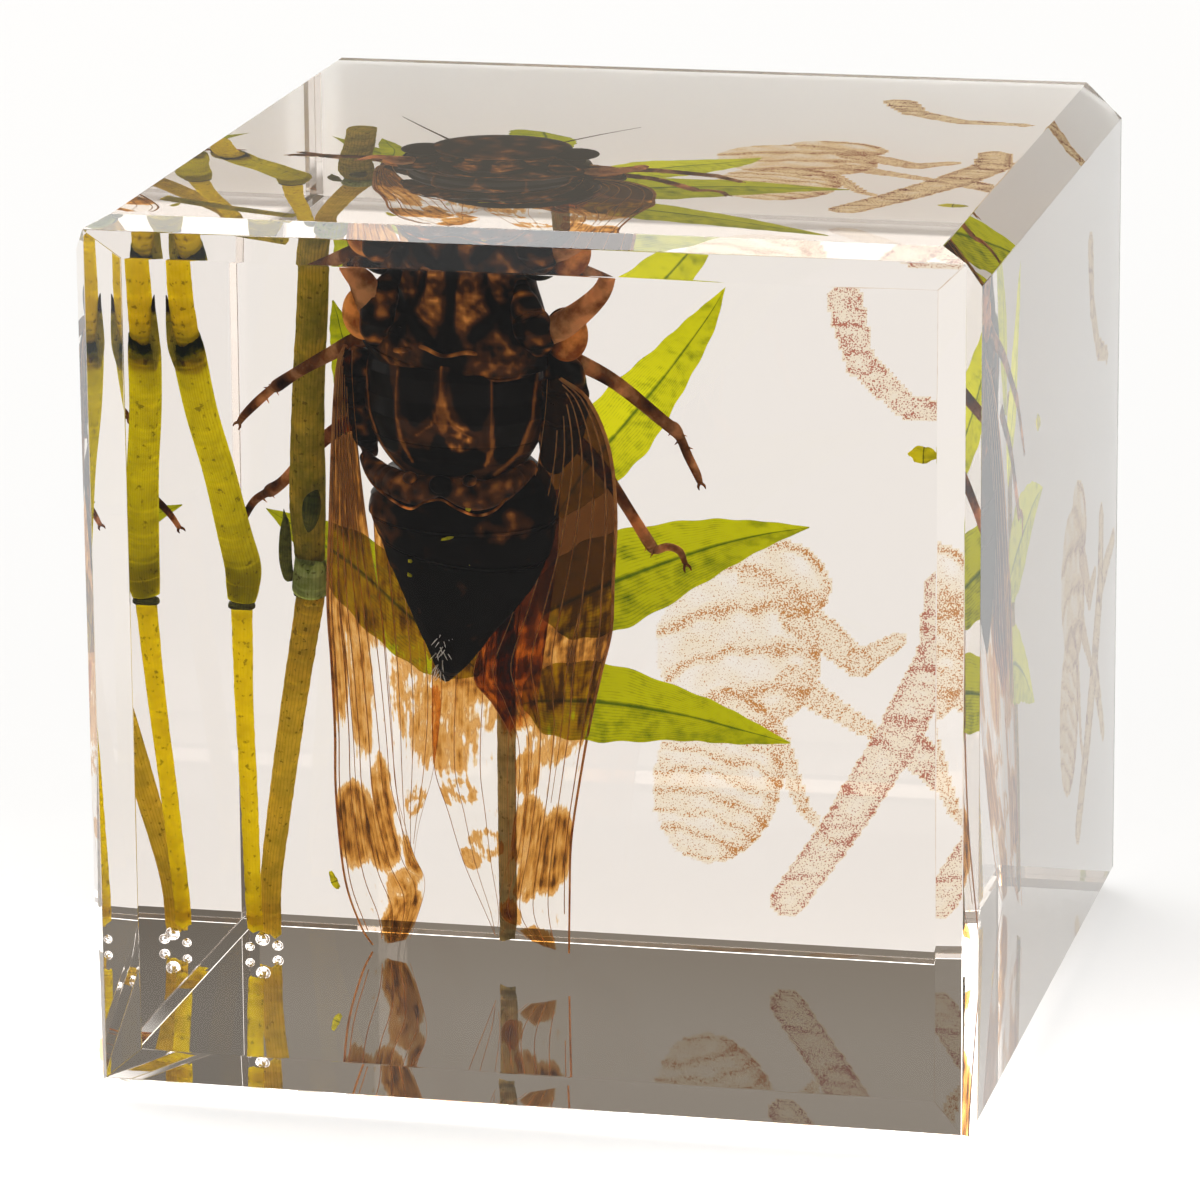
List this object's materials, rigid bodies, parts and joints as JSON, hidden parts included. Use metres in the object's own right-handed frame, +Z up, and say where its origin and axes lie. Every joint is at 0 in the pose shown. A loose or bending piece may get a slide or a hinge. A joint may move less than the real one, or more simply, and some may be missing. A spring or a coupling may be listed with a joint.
{
  "type": "insect in resin block",
  "caption": "Clear cast resin block with polished bevelled edges, sealing a mounted cicada among bamboo stems and leaves in front of a printed backing film.",
  "frame": {"origin": "centre of the footprint, on the surface that the block rests on", "axes": "+Z up, +X to the right as seen from the front, and the front face that shows the insect's back looks along -Y"},
  "size_m": [0.045, 0.047, 0.0448],
  "materials": {
    "clear_resin": "water-clear cast resin, polished on every face"
  },
  "bodies": {
    "root": {"resin_block": "clear_resin"}
  },
  "joints": []
}
